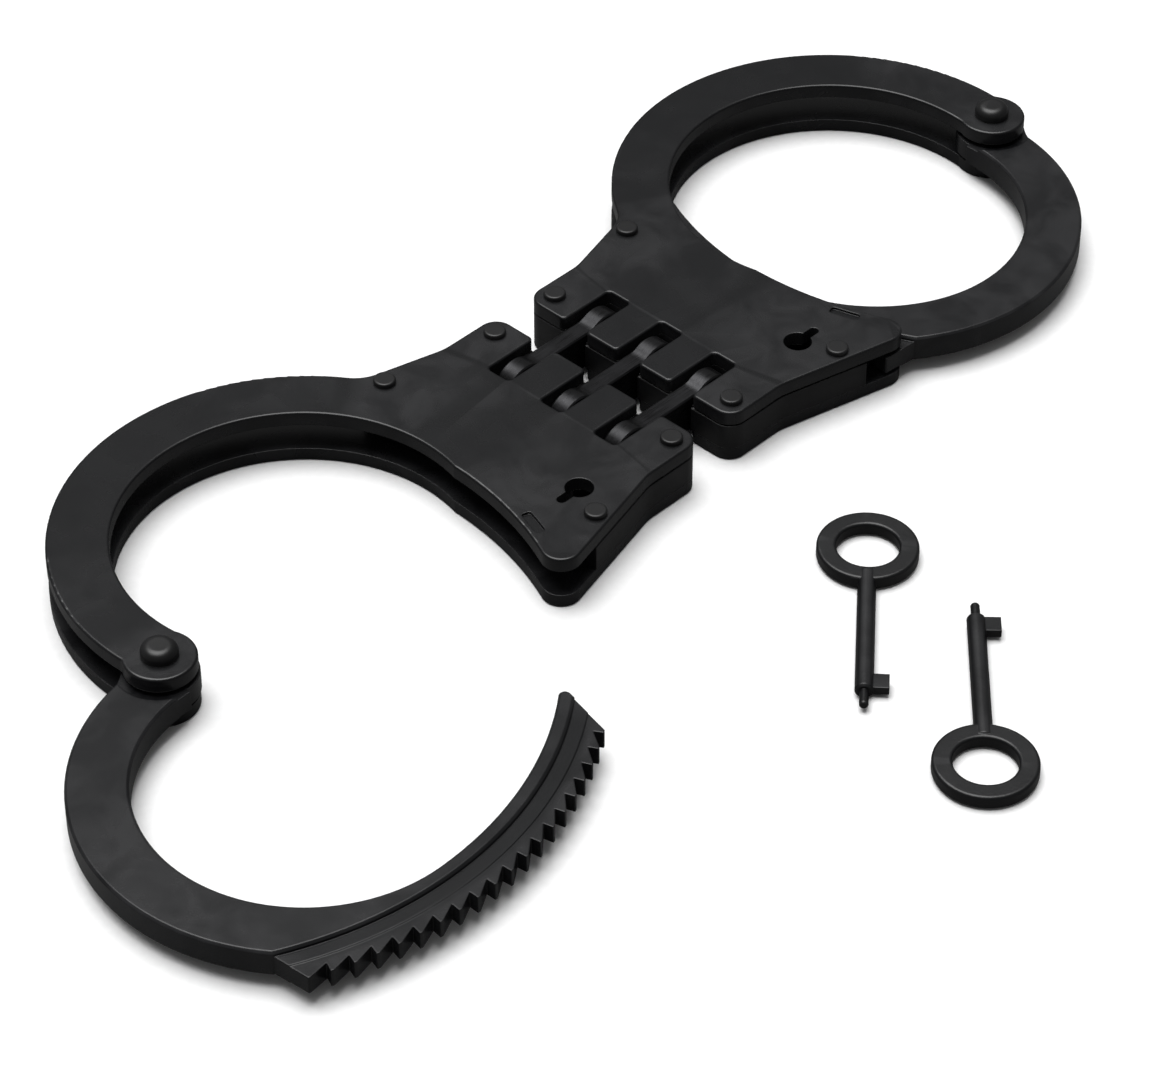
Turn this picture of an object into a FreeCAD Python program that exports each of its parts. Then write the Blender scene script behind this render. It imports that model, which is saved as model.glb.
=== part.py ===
import FreeCAD, Part
import math
import os

# Hinged handcuffs with two keys, in millimetres, +Z up.
# The origin is the middle of the hinge, halfway through the thickness of the cuffs.
# The right cuff is drawn; the left one is its mirror image in the plane x = 0.
# The right arm is closed and the left arm is open. The keys lie on the ground in front (-Y).
# Angles round an arm's pivot, called lock angles, start at -X and grow towards -Y (the mouth).

Vector = FreeCAD.Vector
ORIGIN = Vector(0, 0, 0)
ALONG_X = Vector(1, 0, 0)
ALONG_Y = Vector(0, 1, 0)
UP = Vector(0, 0, 1)

# Thickness of the sandwich: two cheeks with a gap for the arm and the lock.
CHEEK_THICK = 2.5
GAP = 5.0
GAP_HALF = GAP / 2
BODY_HALF = GAP_HALF + CHEEK_THICK
GROUND_Z = -BODY_HALF
CUT = 1.0                  # how far cutting tools run past a face

# Cheek outline.
HINGE_EDGE_X = 3.6
BODY_HALF_WIDTH = 23.5
BODY_SHOULDER_X = 16.0     # where the straight sides start to spread
BODY_RIGHT_X = 46.0        # the body's blank ends inside the ring band
MOUTH_SLOPE = 0.251        # spread of the side with the mouth
BACK_SLOPE = 0.266         # spread of the other side
RING_CENTRE = Vector(65.0, 7.4, 0)
RING_OUTER_R = 39.5
RING_INNER_R = 29.4
PIVOT = Vector(99.5, 1.0, 0)
EYE_R = 5.9
LOCK_EDGE_R = 63.1         # inner edge of the lock body, round the pivot
HINGE_CORNER_R = 3.2
SHOULDER_R = 9.0           # hollow of the body's sides at the shoulder
NOSE_R = 3.4
NOSE_ANGLE = 30            # lock angle near the nose beside the mouth
RING_ROOT_X = 31.0
RING_ROOT_R = 7.0          # hollow between the body and the ring
EYE_ROOT_R = 1.2           # hollow between the ring and the eye
CHEEK_EDGE_R = 0.4

# Hinge.
HINGE_PIN_X = 9.6
HINGE_PIN_R = 1.4
HINGE_PIN_HALF = 17.6
SLOT_PITCH = 12.1
SLOT_HALF_WIDTH = 2.45
SLOT_END_X = 14.6
SLOT_INNER_R = 0.8
TAB_CORNER_R = 1.0
LINK_THICK = 3.4
LINK_EYE_R = 4.5
LINK_WEB_HALF = 3.5
LINK_HOLLOW_R = 3.0
LINK_EDGE = 0.3
RUNNING_CLEARANCE = 0.05

# Rivets.
BODY_RIVETS = [(7.2, 20.2), (7.2, -20.2), (29.1, 24.1), (29.1, -24.1)]
RIVET_R = 1.2
RIVET_HEAD_R = 1.9
RIVET_HEAD_HIGH = 0.9
RIVET_HEAD_ROUND = 0.35
RIVET_SINK_R = 2.0
PIVOT_PIN_R = 2.2
PIVOT_HEAD_R = 3.0
PIVOT_HEAD_HIGH = 2.2
PIVOT_HEAD_ROUND = 1.5
PIVOT_SINK_R = 3.3

# Keyhole, in the top cheek only, and the hole in the bottom cheek for the key's pilot pin.
KEYHOLE = Vector(26.3, -17.8, 0)
KEYHOLE_R = 2.4
KEY_SLOT_END = 4.9
KEY_SLOT_WIDTH = 1.7
PILOT_HOLE_R = 0.95

# Guide mark: pressed into the top cheek, it stands into the gap above the arm's recessed band.
GUIDE_R = 65.0
GUIDE_WIDTH = 1.7
GUIDE_ANGLES = (15.1, 19.7)
GUIDE_CORNER_R = 0.5
GUIDE_DEEP = 0.45
GUIDE_STAND = 0.6

# Swing arm. Its bow is round BOW_CENTRE, and its toothed end is round the pivot.
ARM_CLOSED_ANGLE = 1.3     # lock angle from the pivot to the bow's centre with the arm closed
ARM_OPEN_TURN = 89.0       # how far the left arm is turned open
BOW_OFFSET = 34.1
BOW_OUTER_R = 37.0
BOW_INNER_R = 27.3
RIDGE_OUTER_R = 63.9
RIDGE_INNER_R = BOW_OFFSET + BOW_INNER_R
CREASE_R = 66.3
TOOTH_ROOT_R = 67.7
TOOTH_TIP_R = 69.4
TOOTH_PITCH = 3.0          # degrees
TOOTH_COUNT = 19
FIRST_TOOTH = -32.8        # angles on the arm are from the line through the bow's centre
TOOTH_SLOPE = 2.6          # degrees of the pitch that the sloping flank takes
TIP_CUT = [(60.9, -41.8), (70.4, -32.5)]     # (radius, angle) along the slanted end at the tip
HEEL_CUT = [(71.0, 23.3), (61.0, 28.8)]      # the same where the teeth meet the bow
RIDGE_CUT = [(71.0, 5.0), (61.0, 5.0)]       # where the ridge ends inside the bow
TIP_R = 1.0
ARM_EYE_R = 6.1
ARM_RECESS_R = 7.4         # the arm is thinner inside this radius
ARM_NECK_ANGLE = 112
ARM_NECK_R = 9.0           # hollow between the arm's eye and the bow's outside
ARM_TOP = 2.4
ARM_BOTTOM = -2.4
BAND_TOP = 1.6
BAND_BOTTOM = -1.9
CREASE_DROP = 0.15
ARM_EDGE = 0.4

# Lock frame: hinge block and side walls between the cheeks.
GROOVE_DEEP = 0.4          # groove round the frame, under the top cheek
GROOVE_HIGH = 0.4
FRAME_BLOCK_X = 16.4
FRAME_WALL = 2.2
MOUTH_WALL_X = 32.7
BACK_WALL_X = 31.0
RIVET_BOSS_R = 2.3
SPRING_POST = Vector(20.6, 3.2, 0)
SPRING_POST_R = 0.9

# Pawl, drawn in mesh with the closed arm, and turned clear of the teeth at rest.
PAWL_PIN = Vector(24.5, 13.5, 0)
PAWL_PIN_R = 1.2
PAWL_PIN_SINK = 1.0        # how far the pin goes into each cheek
PAWL_EYE_R = 2.8
PAWL_HALF_THICK = 2.2
PAWL_BACK = [(21.8, 13.2), (24.2, -3.0), (24.0, -14.9), (28.6, -14.9), (29.3, -11.8)]
PAWL_SHOULDER = (27.2, 12.8)
PAWL_FACE_R = 69.9
PAWL_FACE_ANGLES = (-0.8, 11.2)
PAWL_TOOTH_TIP_R = 67.95
PAWL_TEETH = (11, 12, 13)  # the gaps between the arm's teeth that the pawl fills
PAWL_RELEASE = 7.0         # degrees from in mesh to clear of the teeth
MESH_CLEARANCE = 0.12      # degrees

# Leaf springs.
LEAF_THICK = 0.5
LEAF_HALF_HIGH = 1.8
PAWL_LEAF = [(17.0, 17.2), (18.7, 11.4), (21.8, 6.4)]
LEAF_ROOT_X = 13.4
LOCK_LEAF = [(19.5, 3.2), (19.9, -4.5), (18.98, -12.0)]

# Double-lock bar.
BAR_X = (16.7, 18.7)
BAR_Y = (-20.4, -4.0)
BAR_FOOT_X = 23.0
BAR_FOOT_TOP = -18.6
BAR_HALF_THICK = 2.2

# Keys.
KEY_RING_OUTER_R = 8.3
KEY_RING_INNER_R = 5.1
KEY_RING_THICK = 2.4
KEY_SHANK_R = 1.5
KEY_SHANK_START = 5.6      # from the ring's centre
KEY_SHANK_END = 33.6
KEY_PILOT_R = 0.75
KEY_PILOT_END = 36.8
KEY_PILOT_ROUND = 0.45
KEY_BIT_REACH = 3.9
KEY_BIT_LONG = 3.2
KEY_BIT_THICK = 1.4
KEY_EDGE = 0.5
KEY_BEVEL = 0.4
KEYS = {
    "key_1": {"ring": (1.8, -55.0), "heading": 220.0, "bit_side": 1},
    "key_2": {"ring": (-23.6, -100.7), "heading": 42.4, "bit_side": -1},
}


def disc(centre, radius, low, high):
    """A round slab from z = low to z = high."""
    return Part.makeCylinder(radius, high - low, Vector(centre.x, centre.y, low), UP)


def prism(points, low, high):
    """A straight-sided slab over a closed outline of (x, y) points."""
    corners = [Vector(x, y, low) for x, y in points]
    outline = Part.makePolygon(corners + corners[:1])
    return Part.Face(outline).extrude(Vector(0, 0, high - low))


def block(x_range, y_range, low, high):
    """A box given by its ranges."""
    size_x = x_range[1] - x_range[0]
    size_y = y_range[1] - y_range[0]
    return Part.makeBox(size_x, size_y, high - low, Vector(x_range[0], y_range[0], low))


def at_lock_angle(radius, angle):
    """The (x, y) point at a radius and lock angle round the arm's pivot."""
    turn = math.radians(angle)
    return (PIVOT.x - radius * math.cos(turn), PIVOT.y - radius * math.sin(turn))


def on_arm(radius, angle):
    """The same for an angle on the closed arm, from the line through the bow's centre."""
    return at_lock_angle(radius, angle + ARM_CLOSED_ANGLE)


def flat_point(point):
    return Vector(point[0], point[1], 0)


def upright_edge(solid, x, y):
    """The upright edge of a solid that is nearest to (x, y)."""
    uprights = []
    for edge in solid.Edges:
        start = edge.Vertexes[0].Point
        end = edge.Vertexes[-1].Point
        if abs(start.z - end.z) > 1e-6 and math.hypot(start.x - end.x, start.y - end.y) < 1e-6:
            uprights.append((math.hypot(start.x - x, start.y - y), len(uprights), edge))
    return min(uprights)[2]


def rounded_uprights(solid, radius, places):
    """Rounds the upright edges nearest to the (x, y) places."""
    for x, y in places:
        solid = solid.makeFillet(radius, [upright_edge(solid, x, y)])
    return solid


def outline_edges(solid, level):
    """The edges round the outside of the flat face at height level."""
    edges = []
    for face in solid.Faces:
        box = face.BoundBox
        if abs(box.ZMin - level) < 1e-6 and abs(box.ZMax - level) < 1e-6:
            edges.extend(face.OuterWire.Edges)
    return edges


def slot_centres():
    return [-SLOT_PITCH, 0.0, SLOT_PITCH]


def mouth_side_y(x):
    """The cheek's straight side next to the mouth."""
    return -BODY_HALF_WIDTH - MOUTH_SLOPE * (x - BODY_SHOULDER_X)


def back_side_y(x):
    """The cheek's straight side away from the mouth."""
    return BODY_HALF_WIDTH + BACK_SLOPE * (x - BODY_SHOULDER_X)


def lock_edge_top():
    """The y at which the lock body's inner edge meets the inside of the ring."""
    offset = RING_CENTRE - PIVOT
    distance = offset.Length
    along = (LOCK_EDGE_R ** 2 - RING_INNER_R ** 2 + distance ** 2) / (2 * distance)
    across = math.sqrt(LOCK_EDGE_R ** 2 - along ** 2)
    return PIVOT.y + (offset.y * along + offset.x * across) / distance


def hinge_slots(low, high):
    """The three slots for the hinge links, as one tool."""
    tools = []
    for centre_y in slot_centres():
        sides = (centre_y - SLOT_HALF_WIDTH, centre_y + SLOT_HALF_WIDTH)
        slot = block((HINGE_EDGE_X - CUT, SLOT_END_X), sides, low - CUT, high + CUT)
        tools.append(rounded_uprights(slot, SLOT_INNER_R, [(SLOT_END_X, side) for side in sides]))
    return Part.makeCompound(tools)


def body_blank(low, high, inset=0.0):
    """The lock body's outline, up to inside the ring, with every side moved in by inset."""
    left = HINGE_EDGE_X + inset
    half = BODY_HALF_WIDTH - inset
    corners = [(left, -half), (left, half)]
    shoulders = [(BODY_SHOULDER_X, -half), (BODY_SHOULDER_X, half)]
    body = prism([corners[0], shoulders[0],
                  (BODY_RIGHT_X, mouth_side_y(BODY_RIGHT_X) + inset),
                  (BODY_RIGHT_X, back_side_y(BODY_RIGHT_X) - inset),
                  shoulders[1], corners[1]], low, high)
    body = rounded_uprights(body, HINGE_CORNER_R, corners)
    return rounded_uprights(body, SHOULDER_R, shoulders)


def cheek_plate():
    """The bottom plate: body, ring and pivot eye, with hinge slots and an eased lower edge."""
    low, high = -BODY_HALF, -GAP_HALF
    body = body_blank(low, high)
    far = 2 * PIVOT.x
    lock_side = block((0, RING_CENTRE.x), (-far, lock_edge_top()), low - CUT, high + CUT)
    eye_side = block((RING_CENTRE.x, far), (-far, PIVOT.y), low - CUT, high + CUT)
    mouth = disc(PIVOT, LOCK_EDGE_R, low - CUT, high + CUT).common(lock_side.fuse(eye_side))
    plate = body.fuse(disc(RING_CENTRE, RING_OUTER_R, low, high))
    plate = plate.cut(disc(RING_CENTRE, RING_INNER_R, low - CUT, high + CUT)).cut(mouth)
    plate = plate.fuse(disc(PIVOT, EYE_R, low, high)).removeSplitter()
    plate = rounded_uprights(plate, NOSE_R, [at_lock_angle(LOCK_EDGE_R, NOSE_ANGLE)])
    plate = rounded_uprights(plate, RING_ROOT_R, [(RING_ROOT_X, back_side_y(RING_ROOT_X))])
    plate = rounded_uprights(plate, EYE_ROOT_R, [(PIVOT.x + EYE_R, PIVOT.y + EYE_R)])
    plate = plate.cut(hinge_slots(low, high))
    tabs = [(HINGE_EDGE_X, y + side) for y in slot_centres() for side in (-SLOT_HALF_WIDTH, SLOT_HALF_WIDTH)]
    plate = rounded_uprights(plate, TAB_CORNER_R, tabs)
    return plate.makeFillet(CHEEK_EDGE_R, outline_edges(plate, low))


def rivet_holes(low, high):
    """Holes for the body rivets and the pivot rivet, as one tool."""
    holes = [disc(flat_point(place), RIVET_R, low - CUT, high + CUT) for place in BODY_RIVETS]
    holes.append(disc(PIVOT, PIVOT_PIN_R, low - CUT, high + CUT))
    return Part.makeCompound(holes)


def guide_shape(low, high):
    """The footprint of the guide mark: a short strip round the pivot."""
    strip = disc(PIVOT, GUIDE_R + GUIDE_WIDTH / 2, low, high)
    strip = strip.cut(disc(PIVOT, GUIDE_R - GUIDE_WIDTH / 2, low - CUT, high + CUT))
    start, end = GUIDE_ANGLES
    far = 2 * GUIDE_R
    wedge = prism([(PIVOT.x, PIVOT.y), at_lock_angle(far, start), at_lock_angle(far, end)], low, high)
    inner, outer = GUIDE_R - GUIDE_WIDTH / 2, GUIDE_R + GUIDE_WIDTH / 2
    corners = [at_lock_angle(radius, angle) for radius in (inner, outer) for angle in GUIDE_ANGLES]
    return rounded_uprights(strip.common(wedge), GUIDE_CORNER_R, corners)


def key_slot(low, high):
    """The keyhole: a round hole with a slot for the key's bit."""
    hole = disc(KEYHOLE, KEYHOLE_R, low, high)
    slot_sides = (KEYHOLE.y - KEY_SLOT_WIDTH / 2, KEYHOLE.y + KEY_SLOT_WIDTH / 2)
    slot_end = KEYHOLE.x + KEY_SLOT_END - KEY_SLOT_WIDTH / 2
    slot = block((KEYHOLE.x, slot_end), slot_sides, low, high)
    rounded_end = disc(Vector(slot_end, KEYHOLE.y, 0), KEY_SLOT_WIDTH / 2, low, high)
    return hole.fuse(slot).fuse(rounded_end)


def pawl_pin_hole(low, high):
    return disc(PAWL_PIN, PAWL_PIN_R, low, high)


def top_cheek():
    low, high = GAP_HALF, BODY_HALF
    plate = cheek_plate().mirror(ORIGIN, UP)
    plate = plate.cut(rivet_holes(low, high))
    plate = plate.cut(key_slot(low - CUT, high + CUT))
    plate = plate.cut(guide_shape(high - GUIDE_DEEP, high + CUT))
    plate = plate.fuse(guide_shape(low - GUIDE_STAND, low))
    return plate.cut(pawl_pin_hole(low - CUT, low + PAWL_PIN_SINK))


def bottom_cheek():
    low, high = -BODY_HALF, -GAP_HALF
    plate = cheek_plate().cut(rivet_holes(low, high))
    for x, y in BODY_RIVETS:
        plate = plate.cut(rivet_sink(Vector(x, y, low), RIVET_R, RIVET_SINK_R))
    plate = plate.cut(rivet_sink(Vector(PIVOT.x, PIVOT.y, low), PIVOT_PIN_R, PIVOT_SINK_R))
    plate = plate.cut(disc(KEYHOLE, PILOT_HOLE_R, low - CUT, high + CUT))
    return plate.cut(pawl_pin_hole(high - PAWL_PIN_SINK, high + CUT))


def rivet_sink(foot, shank_r, sink_r):
    """The cone where a rivet's tail fills its countersink, from the foot upwards."""
    return Part.makeCone(sink_r, shank_r, sink_r - shank_r, foot, UP)


def rivet(place, shank_r, sink_r, head_r, head_high, head_round):
    """A rivet through both cheeks: flush below, with a rounded button head on top."""
    foot = Vector(place.x, place.y, -BODY_HALF)
    shank = disc(place, shank_r, -BODY_HALF, BODY_HALF + head_high / 2)
    top = BODY_HALF + head_high
    head = disc(place, head_r, BODY_HALF, top)
    head = head.makeFillet(head_round, outline_edges(head, top))
    return shank.fuse(rivet_sink(foot, shank_r, sink_r)).fuse(head).removeSplitter()


def body_rivets():
    return Part.makeCompound([rivet(flat_point(place), RIVET_R, RIVET_SINK_R,
                                    RIVET_HEAD_R, RIVET_HEAD_HIGH, RIVET_HEAD_ROUND)
                              for place in BODY_RIVETS])


def pivot_rivet():
    return rivet(PIVOT, PIVOT_PIN_R, PIVOT_SINK_R, PIVOT_HEAD_R, PIVOT_HEAD_HIGH, PIVOT_HEAD_ROUND)


def hinge_pin_shape(radius, half_length):
    """A round bar along Y at the hinge pin's place."""
    return Part.makeCylinder(radius, 2 * half_length, Vector(HINGE_PIN_X, -half_length, 0), ALONG_Y)


def lock_pocket(low, high):
    """The room for the lock inside the frame, open towards the ring."""
    far = BODY_RIGHT_X + CUT
    return prism([(FRAME_BLOCK_X, mouth_side_y(FRAME_BLOCK_X) + FRAME_WALL),
                  (MOUTH_WALL_X, mouth_side_y(MOUTH_WALL_X) + FRAME_WALL),
                  (MOUTH_WALL_X, -far), (far, -far), (far, far), (BACK_WALL_X, far),
                  (BACK_WALL_X, back_side_y(BACK_WALL_X) - FRAME_WALL),
                  (FRAME_BLOCK_X, back_side_y(FRAME_BLOCK_X) - FRAME_WALL)], low - CUT, high + CUT)


def lock_frame():
    """The spacer between the cheeks: a slotted hinge block and two side walls, with a groove on top."""
    low, high = -GAP_HALF, GAP_HALF
    groove = high - GROOVE_HIGH
    frame = body_blank(low, groove).fuse(body_blank(groove, high, GROOVE_DEEP)).cut(lock_pocket(low, high))
    for x, y in BODY_RIVETS:
        if x > FRAME_BLOCK_X:
            frame = frame.fuse(disc(flat_point((x, y)), RIVET_BOSS_R, low, high))
    post_neck = block((FRAME_BLOCK_X, SPRING_POST.x),
                      (SPRING_POST.y - SPRING_POST_R, SPRING_POST.y + SPRING_POST_R), low, -LEAF_HALF_HIGH)
    frame = frame.fuse([disc(SPRING_POST, SPRING_POST_R, low, high), post_neck]).removeSplitter()
    frame = frame.cut(hinge_slots(low, high)).cut(rivet_holes(low, high))
    frame = frame.cut(leaf_root(low - CUT, high + CUT))
    return frame.cut(hinge_pin_shape(HINGE_PIN_R, HINGE_PIN_HALF))


def hinge_link(centre_y):
    """A dog-bone plate on both hinge pins."""
    front = centre_y - LINK_THICK / 2
    eyes = [Part.makeCylinder(LINK_EYE_R, LINK_THICK, Vector(x, front, 0), ALONG_Y)
            for x in (-HINGE_PIN_X, HINGE_PIN_X)]
    web = Part.makeBox(2 * HINGE_PIN_X, LINK_THICK, 2 * LINK_WEB_HALF,
                       Vector(-HINGE_PIN_X, front, -LINK_WEB_HALF))
    link = web.fuse(eyes[0]).fuse(eyes[1]).removeSplitter()
    hollows = [edge for edge in link.Edges
               if abs(edge.BoundBox.YLength - LINK_THICK) < 1e-3 and edge.BoundBox.XLength < 1e-3
               and abs(edge.CenterOfMass.x) < HINGE_PIN_X - 1]
    link = link.makeFillet(LINK_HOLLOW_R, hollows)
    rims = []
    for face in link.Faces:
        if face.BoundBox.YLength < 1e-6:
            rims.extend(face.OuterWire.Edges)
    link = link.makeChamfer(LINK_EDGE, rims)
    for x in (-HINGE_PIN_X, HINGE_PIN_X):
        bore = Part.makeCylinder(HINGE_PIN_R + RUNNING_CLEARANCE, LINK_THICK + 2 * CUT,
                                 Vector(x, front - CUT, 0), ALONG_Y)
        link = link.cut(bore)
    return link


def band(inner_r, outer_r, low, high, end_cut=HEEL_CUT):
    """A stretch of the arm's toothed end between two radii round the pivot, from the tip to end_cut."""
    ring = disc(PIVOT, outer_r, low, high).cut(disc(PIVOT, inner_r, low - CUT, high + CUT))
    corners = TIP_CUT + [(2 * TOOTH_TIP_R, 0)] + end_cut
    return ring.common(prism([(PIVOT.x, PIVOT.y)] + [on_arm(*corner) for corner in corners], low, high))


def bow(low, high):
    """The wide bow, on the mouth's side of the line through the pivot and the bow's centre."""
    centre = flat_point(on_arm(BOW_OFFSET, 0))
    far = 2 * RIDGE_OUTER_R
    side = prism([on_arm(far, 0), on_arm(far, 90), on_arm(far, 179.9), on_arm(far, 180)], low, high)
    slab = disc(centre, BOW_OUTER_R, low, high).common(disc(PIVOT, RIDGE_OUTER_R, low, high))
    return slab.cut(disc(centre, BOW_INNER_R, low - CUT, high + CUT)).common(side)


def tooth_gap(index):
    """The notch in front of one tooth: a steep flank and a long sloping one."""
    steep = FIRST_TOOTH + index * TOOTH_PITCH
    beyond = TOOTH_TIP_R + CUT
    slope_end = steep + TOOTH_SLOPE
    return prism([on_arm(beyond, steep), on_arm(TOOTH_ROOT_R, steep), on_arm(TOOTH_TIP_R, slope_end),
                  on_arm(beyond, slope_end)], ARM_BOTTOM, ARM_TOP)


def closed_arm():
    """The swing arm, closed: thick bow and ridge, recessed band, teeth and a thinner eye."""
    ridge = band(RIDGE_INNER_R, RIDGE_OUTER_R, ARM_BOTTOM, ARM_TOP, RIDGE_CUT)
    thick = bow(ARM_BOTTOM, ARM_TOP).fuse(ridge)
    thick = thick.cut(disc(PIVOT, ARM_RECESS_R, ARM_BOTTOM - CUT, ARM_TOP + CUT)).removeSplitter()
    thick = rounded_uprights(thick, TIP_R, [on_arm(RIDGE_INNER_R, TIP_CUT[0][1])])
    rims = outline_edges(thick, ARM_TOP) + outline_edges(thick, ARM_BOTTOM)
    long_rims = [edge for edge in rims if edge.Curve.TypeId == "Part::GeomCircle"
                 and edge.Curve.Radius > ARM_RECESS_R + CUT]
    thick = thick.makeChamfer(ARM_EDGE, long_rims)
    eye = bow(BAND_BOTTOM, BAND_TOP).fuse(disc(PIVOT, ARM_EYE_R, BAND_BOTTOM, BAND_TOP)).removeSplitter()
    eye = rounded_uprights(eye, ARM_NECK_R, [on_arm(ARM_EYE_R, ARM_NECK_ANGLE)])
    inner_band = band(RIDGE_OUTER_R - ARM_EDGE, CREASE_R, BAND_BOTTOM, BAND_TOP)
    outer_band = band(RIDGE_OUTER_R - ARM_EDGE, TOOTH_TIP_R,
                      BAND_BOTTOM + CREASE_DROP, BAND_TOP - CREASE_DROP)
    outer_band = outer_band.cut(Part.makeCompound([tooth_gap(index) for index in range(TOOTH_COUNT)]))
    arm = thick.fuse([eye, inner_band, outer_band]).removeSplitter()
    return arm.cut(disc(PIVOT, PIVOT_PIN_R + RUNNING_CLEARANCE, ARM_BOTTOM - CUT, ARM_TOP + CUT))


def turned(shape, centre, angle):
    copy = shape.copy()
    copy.rotate(centre, UP, angle)
    return copy


def pawl():
    """The toothed bar that catches the arm, turned clear of the arm's teeth."""
    low, high = -PAWL_HALF_THICK, PAWL_HALF_THICK
    face_top = at_lock_angle(PAWL_FACE_R - CUT, PAWL_FACE_ANGLES[0])
    face_bottom = at_lock_angle(PAWL_FACE_R - CUT, PAWL_FACE_ANGLES[1])
    bar = prism(PAWL_BACK + [face_bottom, face_top, PAWL_SHOULDER], low, high)
    bar = bar.cut(disc(PIVOT, PAWL_FACE_R, low - CUT, high + CUT)).fuse(disc(PAWL_PIN, PAWL_EYE_R, low, high))
    for index in PAWL_TEETH:
        steep = FIRST_TOOTH + index * TOOTH_PITCH + MESH_CLEARANCE
        bar = bar.fuse(prism([on_arm(PAWL_FACE_R + CUT, steep), on_arm(PAWL_TOOTH_TIP_R, steep),
                              on_arm(PAWL_FACE_R + MESH_CLEARANCE, steep + TOOTH_SLOPE)],
                             low, high))
    bar = bar.removeSplitter().cut(disc(PAWL_PIN, PAWL_PIN_R + RUNNING_CLEARANCE, low - CUT, high + CUT))
    return turned(bar, PAWL_PIN, -PAWL_RELEASE)


def pawl_pin():
    return disc(PAWL_PIN, PAWL_PIN_R, -GAP_HALF - PAWL_PIN_SINK, GAP_HALF + PAWL_PIN_SINK)


def leaf(points):
    """A thin strip on edge that follows an arc through three points."""
    start, middle, end = [Vector(x, y, -LEAF_HALF_HIGH) for x, y in points]
    centre = Part.Arc(start, middle, end).toShape().Curve.Center
    radius = centre.distanceToPoint(start)
    outer = [centre + (point - centre) * ((radius + LEAF_THICK) / radius) for point in (start, middle, end)]
    edges = [Part.Arc(start, middle, end).toShape(), Part.makeLine(end, outer[2]),
             Part.Arc(outer[2], outer[1], outer[0]).toShape(), Part.makeLine(outer[0], start)]
    return Part.Face(Part.Wire(edges)).extrude(Vector(0, 0, 2 * LEAF_HALF_HIGH))


def leaf_root(low, high):
    """The straight end of the pawl spring, and the slit that holds it."""
    end_x, y = PAWL_LEAF[0]
    return block((LEAF_ROOT_X, end_x), (y - LEAF_THICK / 2, y + LEAF_THICK / 2), low, high)


def pawl_spring():
    """A leaf with one end in the frame's slit, a bend, and a curved end on the pawl's back."""
    low, high = -LEAF_HALF_HIGH, LEAF_HALF_HIGH
    bend = disc(flat_point(PAWL_LEAF[0]), LEAF_THICK, low, high)
    return leaf(PAWL_LEAF).fuse([leaf_root(low, high), bend]).removeSplitter()


def double_lock_bar():
    low, high = -BAR_HALF_THICK, BAR_HALF_THICK
    bar = block(BAR_X, BAR_Y, low, high)
    foot = block((BAR_X[0], BAR_FOOT_X), (BAR_Y[0], BAR_FOOT_TOP), low, high)
    return bar.fuse(foot).removeSplitter()


def double_lock_spring():
    """A leaf that is wrapped on its post and presses on the double-lock bar."""
    low, high = -LEAF_HALF_HIGH, LEAF_HALF_HIGH
    wrap = disc(SPRING_POST, SPRING_POST_R + LEAF_THICK, low, high)
    strip = leaf(LOCK_LEAF).fuse(wrap)
    return strip.cut(disc(SPRING_POST, SPRING_POST_R, low - CUT, high + CUT)).removeSplitter()


def key(ring, heading, bit_side):
    """A key lying flat: ring, round shank, bit and pilot pin, drawn along +X."""
    bow_ring = disc(ORIGIN, KEY_RING_OUTER_R, -KEY_RING_THICK / 2, KEY_RING_THICK / 2)
    bow_ring = bow_ring.cut(disc(ORIGIN, KEY_RING_INNER_R, -KEY_RING_THICK, KEY_RING_THICK))
    rims = [edge for edge in bow_ring.Edges if edge.BoundBox.ZLength < 1e-6]
    bow_ring = bow_ring.makeFillet(KEY_EDGE, rims)
    shank = Part.makeCylinder(KEY_SHANK_R, KEY_SHANK_END - KEY_SHANK_START,
                              Vector(KEY_SHANK_START, 0, 0), ALONG_X)
    shank = shank.makeChamfer(KEY_BEVEL, [edge for edge in shank.Edges if edge.BoundBox.XLength < 1e-6])
    pilot = Part.makeCylinder(KEY_PILOT_R, KEY_PILOT_END - KEY_SHANK_END + CUT,
                              Vector(KEY_SHANK_END - CUT, 0, 0), ALONG_X)
    tip_edges = [edge for edge in pilot.Edges if edge.BoundBox.XMin > KEY_PILOT_END - 1e-3]
    pilot = pilot.makeFillet(KEY_PILOT_ROUND, tip_edges)
    bit = Part.makeBox(KEY_BIT_LONG, KEY_BIT_REACH, KEY_BIT_THICK,
                       Vector(KEY_SHANK_END - KEY_BEVEL - KEY_BIT_LONG, 0, -KEY_BIT_THICK / 2))
    if bit_side < 0:
        bit = bit.mirror(ORIGIN, ALONG_Y)
    whole = bow_ring.fuse([shank, pilot, bit]).removeSplitter()
    whole.rotate(ORIGIN, UP, heading)
    whole.translate(Vector(ring[0], ring[1], GROUND_Z + KEY_SHANK_R))
    return whole


def cuff_parts():
    """The parts that both cuffs share, as drawn for the right cuff."""
    return {
        "top_cheek": top_cheek(),
        "bottom_cheek": bottom_cheek(),
        "lock_frame": lock_frame(),
        "hinge_pin": hinge_pin_shape(HINGE_PIN_R, HINGE_PIN_HALF),
        "body_rivets": body_rivets(),
        "pivot_rivet": pivot_rivet(),
        "pawl": pawl(),
        "pawl_pin": pawl_pin(),
        "pawl_spring": pawl_spring(),
        "double_lock_bar": double_lock_bar(),
        "double_lock_spring": double_lock_spring(),
    }


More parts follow.
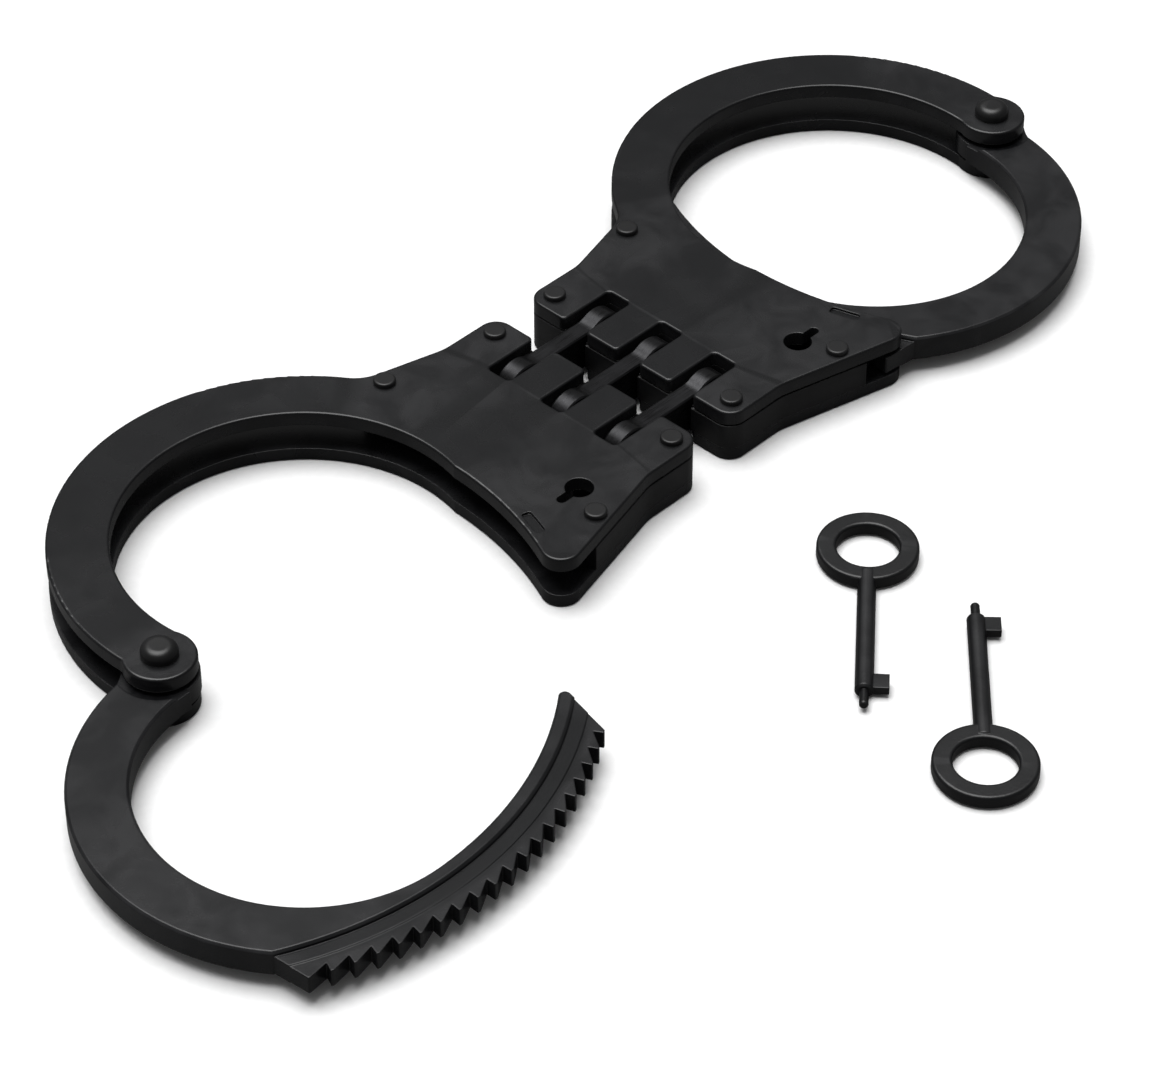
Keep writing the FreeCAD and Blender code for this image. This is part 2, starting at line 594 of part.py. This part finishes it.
def all_parts():
    parts = {}
    for name, shape in cuff_parts().items():
        parts["right_" + name] = shape
        parts["left_" + name] = shape.mirror(ORIGIN, ALONG_X)
    arm = closed_arm()
    parts["right_swing_arm"] = arm
    open_arm = turned(arm, PIVOT, ARM_OPEN_TURN)
    parts["left_swing_arm"] = open_arm.mirror(ORIGIN, ALONG_X)
    for name, centre_y in zip(("front", "middle", "back"), slot_centres()):
        parts["hinge_link_" + name] = hinge_link(centre_y)
    for name, place in KEYS.items():
        parts[name] = key(**place)
    return parts


os.makedirs("parts", exist_ok=True)
for node, shape in all_parts().items():
    shape.exportStep("parts/" + node + ".step")
    print(node, "solids", len(shape.Solids), "valid", shape.isValid(), "volume", round(shape.Volume, 1))
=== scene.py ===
"""Looks for the hinged handcuffs: black satin metal, dark hinge steel, pale floor, soft light, camera."""

import math

import bpy
from mathutils import Matrix, Vector

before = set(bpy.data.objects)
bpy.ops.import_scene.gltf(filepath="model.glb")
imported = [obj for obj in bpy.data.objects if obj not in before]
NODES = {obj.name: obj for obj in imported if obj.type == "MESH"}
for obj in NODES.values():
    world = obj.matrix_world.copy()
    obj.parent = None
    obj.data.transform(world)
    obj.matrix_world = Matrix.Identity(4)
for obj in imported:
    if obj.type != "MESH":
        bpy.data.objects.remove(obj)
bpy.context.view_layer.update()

MM = 0.001

# Camera, at the photograph's angle: the view's azimuth is from +Y towards +X. Its place is in view units.
VIEW_AZIMUTH = math.radians(46.14)
VIEW_ELEVATION = math.radians(40.65)
VIEW_UNIT = 1.07 * MM
CAMERA_ALONG = -661.3
CAMERA_RIGHT = -4.633
CAMERA_UP = -26.155
CHEEK_TOP_Z = 5.0 * MM
LENS = 132.0
SENSOR_WIDTH = 36.0
CLIP_START = 0.01

# Floor, under the lower cheeks. Towards the metal it gives back only a share of the light that the camera
# sees, which keeps the metal's sides dark beside a white floor.
GROUND_Z = -5.0 * MM
FLOOR_HALF = 3.0
FLOOR_TONES = [(0.3, 0.90), (0.7, 0.93)]
FLOOR_BOUNCE = 0.13

# Dome: its brightness against the cosine of the angle between a direction and its bright side.
DOME_BRIGHT_SIDE = (0.0, 0.20, 1.0)
DOME_STOPS = [(0.05, 0.02), (0.45, 0.025), (0.70, 0.03), (0.86, 0.05), (0.93, 0.85), (1.0, 1.0)]
DOME_STRENGTH = 6.6

# Coating. Linear colours.
PLATE_BLACK = (0.0036, 0.0038, 0.0045)
PLATE_DARK = (0.0032, 0.0034, 0.0040)
SMALL_BLACK = (0.0040, 0.0040, 0.0043)
SMALL_DARK = (0.0028, 0.0028, 0.0030)
KEY_BLACK = (0.0036, 0.0038, 0.0044)
KEY_DARK = (0.0028, 0.0030, 0.0035)
# Painted highlight: lighter colours mixed into the sharp convex rims of the coating.
PLATE_RIM_HIGHLIGHT_PAINT = (0.045, 0.045, 0.047)
FRAME_RIM_HIGHLIGHT_PAINT = (0.035, 0.035, 0.037)
SMALL_RIM_HIGHLIGHT_PAINT = (0.05, 0.05, 0.052)
COAT_SPECULAR = 0.42
COAT_RIM_R = 0.3 * MM
COAT_BUMP = 0.35
FINE_GRAIN = 0.02 * MM
ROUGH_GRAIN = 0.09 * MM
RIM_HIGHLIGHT_SHARE = 0.35                 # how much of the painted rim highlight colour shows on a sharp edge
SHEEN_LOWER = 0.0072        # how far the sheen's roughness strays either way
SHEEN_UPPER = 0.0096

# Bare steel.
STEEL_METALLIC = 0.85
STEEL_RIM_R = 0.2 * MM
STEEL_BUMP = 0.25
STREAK_DEPTH = 0.03 * MM
STREAK_ACROSS = 2600.0
STREAK_ALONG = 160.0
STREAK_SMOOTHER = 0.08
STREAK_ROUGHER = 0.10


# Materials.

def new_material(name):
    """A material with its Principled shader, and a helper that adds and wires nodes."""
    material = bpy.data.materials.new(name)
    material.use_nodes = True
    tree = material.node_tree
    shader = tree.nodes["Principled BSDF"]

    def add(kind, inputs=None, **settings):
        node = tree.nodes.new(kind)
        for key, value in settings.items():
            setattr(node, key, value)
        for socket, value in (inputs or {}).items():
            if isinstance(value, bpy.types.NodeSocket):
                tree.links.new(value, node.inputs[socket])
            else:
                node.inputs[socket].default_value = value
        return node

    def link(source, target):
        tree.links.new(source, target)

    return material, shader, add, link


def set_stops(node, stops):
    """Gives a colour ramp node its stops, each one (place, grey or colour)."""
    elements = node.color_ramp.elements
    while len(elements) > 1:
        elements.remove(elements[-1])
    for index, (place, colour) in enumerate(stops):
        element = elements[0] if index == 0 else elements.new(place)
        element.position = place
        if not isinstance(colour, tuple):
            colour = (colour, colour, colour)
        element.color = colour + (1.0,)


def ramp(add, source, stops):
    """A colour ramp over source."""
    node = add("ShaderNodeValToRGB", {"Fac": source})
    set_stops(node, stops)
    return node.outputs["Color"]


def sheen_roughness(add, source, smoothest, roughest):
    """A roughness that follows the middle of a noise."""
    node = add("ShaderNodeMapRange", {"Value": source, "From Min": 0.3, "From Max": 0.7,
                                      "To Min": smoothest, "To Max": roughest})
    return node.outputs["Result"]


def bumped(add, height, strength, depth, rim_r, samples):
    """A normal with rounded rims and a fine relief."""
    bevel = add("ShaderNodeBevel", {"Radius": rim_r}, samples=samples)
    bump = add("ShaderNodeBump", {"Strength": strength, "Distance": depth, "Height": height,
                                  "Normal": bevel.outputs["Normal"]})
    return bump.outputs["Normal"]


def coated_metal(name, base, dark, rim_highlight_colour, roughness, grain_size, grain_depth):
    """Satin black coating: faint mottling, fine grain, brushed sheen changes and a painted highlight on sharp
    rims.
    """
    material, shader, add, link = new_material(name)
    place = add("ShaderNodeTexCoord").outputs["Object"]

    clouds = add("ShaderNodeTexNoise", {"Vector": place, "Scale": 55.0, "Detail": 5.0, "Roughness": 0.6})
    smudges = add("ShaderNodeTexNoise", {"Vector": place, "Scale": 140.0, "Detail": 3.0, "Distortion": 0.6})
    grain = add("ShaderNodeTexNoise", {"Vector": place, "Scale": grain_size, "Detail": 3.0, "Roughness": 0.7})

    mottled = ramp(add, clouds.outputs["Fac"], [(0.32, dark), (0.68, base)])
    # Painted highlight: sharp convex rims (pointiness) take a lighter colour, patchy with the smudge noise.
    edge = add("ShaderNodeNewGeometry").outputs["Pointiness"]
    rim_mask = ramp(add, edge, [(0.50, 0.0), (0.56, 1.0)])
    patchy = ramp(add, smudges.outputs["Fac"], [(0.35, 0.25), (0.65, 1.0)])
    rim_highlight_amount = add("ShaderNodeMath", {0: rim_mask, 1: patchy}, operation="MULTIPLY").outputs[0]
    rim_highlight_amount = add("ShaderNodeMath", {0: rim_highlight_amount, 1: RIM_HIGHLIGHT_SHARE}, operation="MULTIPLY").outputs[0]
    # A mix node's sockets share names between data types, so its colour sockets go by number.
    colour = add("ShaderNodeMix", {0: rim_highlight_amount, 6: mottled, 7: rim_highlight_colour + (1.0,)}, data_type="RGBA")
    link(colour.outputs[2], shader.inputs["Base Color"])

    sheen = sheen_roughness(add, smudges.outputs["Fac"], roughness - SHEEN_LOWER, roughness + SHEEN_UPPER)
    link(sheen, shader.inputs["Roughness"])
    shader.inputs["Metallic"].default_value = 0.0
    shader.inputs["Specular IOR Level"].default_value = COAT_SPECULAR
    normal = bumped(add, grain.outputs["Fac"], COAT_BUMP, grain_depth, COAT_RIM_R, 8)
    link(normal, shader.inputs["Normal"])
    return material


def bare_steel(name, base, dark, roughness, streak_axis):
    """Ground or burnished steel: fine streaks along one axis, darker mottling."""
    material, shader, add, link = new_material(name)
    place = add("ShaderNodeTexCoord").outputs["Object"]
    stretch = [STREAK_ACROSS, STREAK_ACROSS, STREAK_ACROSS]
    stretch[streak_axis] = STREAK_ALONG
    stretched = add("ShaderNodeMapping", {"Vector": place, "Scale": stretch}).outputs["Vector"]
    streaks = add("ShaderNodeTexNoise", {"Vector": stretched, "Scale": 1.0, "Detail": 4.0, "Roughness": 0.65})
    clouds = add("ShaderNodeTexNoise", {"Vector": place, "Scale": 180.0, "Detail": 4.0})
    colour = ramp(add, clouds.outputs["Fac"], [(0.35, dark), (0.7, base)])
    link(colour, shader.inputs["Base Color"])
    shader.inputs["Metallic"].default_value = STEEL_METALLIC
    sheen = sheen_roughness(add, streaks.outputs["Fac"],
                            roughness - STREAK_SMOOTHER, roughness + STREAK_ROUGHER)
    link(sheen, shader.inputs["Roughness"])
    normal = bumped(add, streaks.outputs["Fac"], STEEL_BUMP, STREAK_DEPTH, STEEL_RIM_R, 6)
    link(normal, shader.inputs["Normal"])
    return material


def make_materials():
    """Every material by its short name."""
    return {
        "cheek": coated_metal("black_coating_cheek", PLATE_BLACK, PLATE_DARK, PLATE_RIM_HIGHLIGHT_PAINT,
                              0.27, 2600.0, FINE_GRAIN),
        "arm": coated_metal("black_coating_arm", PLATE_BLACK, PLATE_DARK, PLATE_RIM_HIGHLIGHT_PAINT,
                            0.26, 2600.0, FINE_GRAIN),
        "frame": coated_metal("black_coating_frame", SMALL_BLACK, SMALL_DARK, FRAME_RIM_HIGHLIGHT_PAINT,
                              0.34, 2200.0, FINE_GRAIN),
        "rivet": coated_metal("black_rivet_finish", SMALL_BLACK, SMALL_DARK, SMALL_RIM_HIGHLIGHT_PAINT,
                              0.36, 3000.0, FINE_GRAIN),
        "key": coated_metal("grainy_black_key", KEY_BLACK, KEY_DARK, SMALL_RIM_HIGHLIGHT_PAINT,
                            0.34, 1800.0, ROUGH_GRAIN),
        "link": bare_steel("burnished_hinge_steel", (0.032, 0.032, 0.034), (0.018, 0.018, 0.019), 0.30, 0),
        "pin": bare_steel("burnished_pin_steel", (0.060, 0.060, 0.063), (0.035, 0.035, 0.037), 0.34, 1),
        "works": bare_steel("ground_lock_steel", (0.20, 0.20, 0.21), (0.13, 0.13, 0.135), 0.36, 1),
        "spring": bare_steel("blued_spring_steel", (0.08, 0.09, 0.13), (0.05, 0.055, 0.08), 0.30, 1),
    }


NODE_LOOKS = {
    "top_cheek": "cheek",
    "bottom_cheek": "cheek",
    "lock_frame": "frame",
    "hinge_pin": "pin",
    "body_rivets": "rivet",
    "pivot_rivet": "rivet",
    "pawl": "works",
    "pawl_pin": "works",
    "pawl_spring": "spring",
    "double_lock_bar": "works",
    "double_lock_spring": "spring",
    "swing_arm": "arm",
}


def look_of(node):
    """The name of the material for a CAD node."""
    if node.startswith("key"):
        return "key"
    if node.startswith("hinge_link"):
        return "link"
    return NODE_LOOKS[node.split("_", 1)[1]]


def dress(node, piece, materials):
    """Gives a CAD node its material."""
    piece.data.materials.clear()
    piece.data.materials.append(materials[look_of(node)])


# Stage.

def add_floor():
    """A large pale plane under the handcuffs."""
    mesh = bpy.data.meshes.new("floor")
    corners = [(-1, -1), (1, -1), (1, 1), (-1, 1)]
    mesh.from_pydata([(x * FLOOR_HALF, y * FLOOR_HALF, GROUND_Z) for x, y in corners], [], [(0, 1, 2, 3)])
    floor = bpy.data.objects.new("floor", mesh)
    bpy.context.scene.collection.objects.link(floor)
    material, shader, add, link = new_material("white_floor")
    place = add("ShaderNodeTexCoord").outputs["Object"]
    paper = add("ShaderNodeTexNoise", {"Vector": place, "Scale": 900.0, "Detail": 3.0})
    tone = ramp(add, paper.outputs["Fac"], FLOOR_TONES)
    seen = add("ShaderNodeLightPath").outputs["Is Camera Ray"]
    share = add("ShaderNodeMapRange", {"Value": seen, "To Min": FLOOR_BOUNCE, "To Max": 1.0})
    colour = add("ShaderNodeVectorMath", {0: tone, "Scale": share.outputs["Result"]}, operation="SCALE")
    link(colour.outputs["Vector"], shader.inputs["Base Color"])
    shader.inputs["Roughness"].default_value = 0.9
    shader.inputs["Specular IOR Level"].default_value = 0.1
    mesh.materials.append(material)


def add_world():
    """A studio dome: bright overhead, and nearly dark lower down all round."""
    world = bpy.data.worlds.new("studio")
    world.use_nodes = True
    tree = world.node_tree
    background = tree.nodes["Background"]
    direction = tree.nodes.new("ShaderNodeTexCoord").outputs["Generated"]
    towards = tree.nodes.new("ShaderNodeVectorMath")
    towards.operation = "DOT_PRODUCT"
    towards.inputs[1].default_value = Vector(DOME_BRIGHT_SIDE).normalized()
    tree.links.new(direction, towards.inputs[0])
    brightness = tree.nodes.new("ShaderNodeValToRGB")
    set_stops(brightness, DOME_STOPS)
    tree.links.new(towards.outputs["Value"], brightness.inputs["Fac"])
    tree.links.new(brightness.outputs["Color"], background.inputs["Color"])
    background.inputs["Strength"].default_value = DOME_STRENGTH
    bpy.context.scene.world = world


def add_camera():
    """The camera at the photograph's angle, distance and lens."""
    sin_a, cos_a = math.sin(VIEW_AZIMUTH), math.cos(VIEW_AZIMUTH)
    sin_e, cos_e = math.sin(VIEW_ELEVATION), math.cos(VIEW_ELEVATION)
    forward = Vector((sin_a * cos_e, cos_a * cos_e, -sin_e))
    right = Vector((cos_a, -sin_a, 0.0))
    up = right.cross(forward)
    place = (right * CAMERA_RIGHT + up * CAMERA_UP + forward * CAMERA_ALONG) * VIEW_UNIT
    place.z += CHEEK_TOP_Z
    data = bpy.data.cameras.new("camera")
    data.lens = LENS
    data.sensor_width = SENSOR_WIDTH
    data.sensor_fit = "HORIZONTAL"
    data.clip_start = CLIP_START
    camera = bpy.data.objects.new("camera", data)
    axes = Matrix((right, up, -forward)).transposed()
    camera.matrix_world = Matrix.Translation(place) @ axes.to_4x4()
    bpy.context.scene.collection.objects.link(camera)
    bpy.context.scene.camera = camera


materials = make_materials()
for node, piece in NODES.items():
    dress(node, piece, materials)
add_floor()
add_world()
add_camera()
bpy.context.scene.view_settings.view_transform = "Standard"
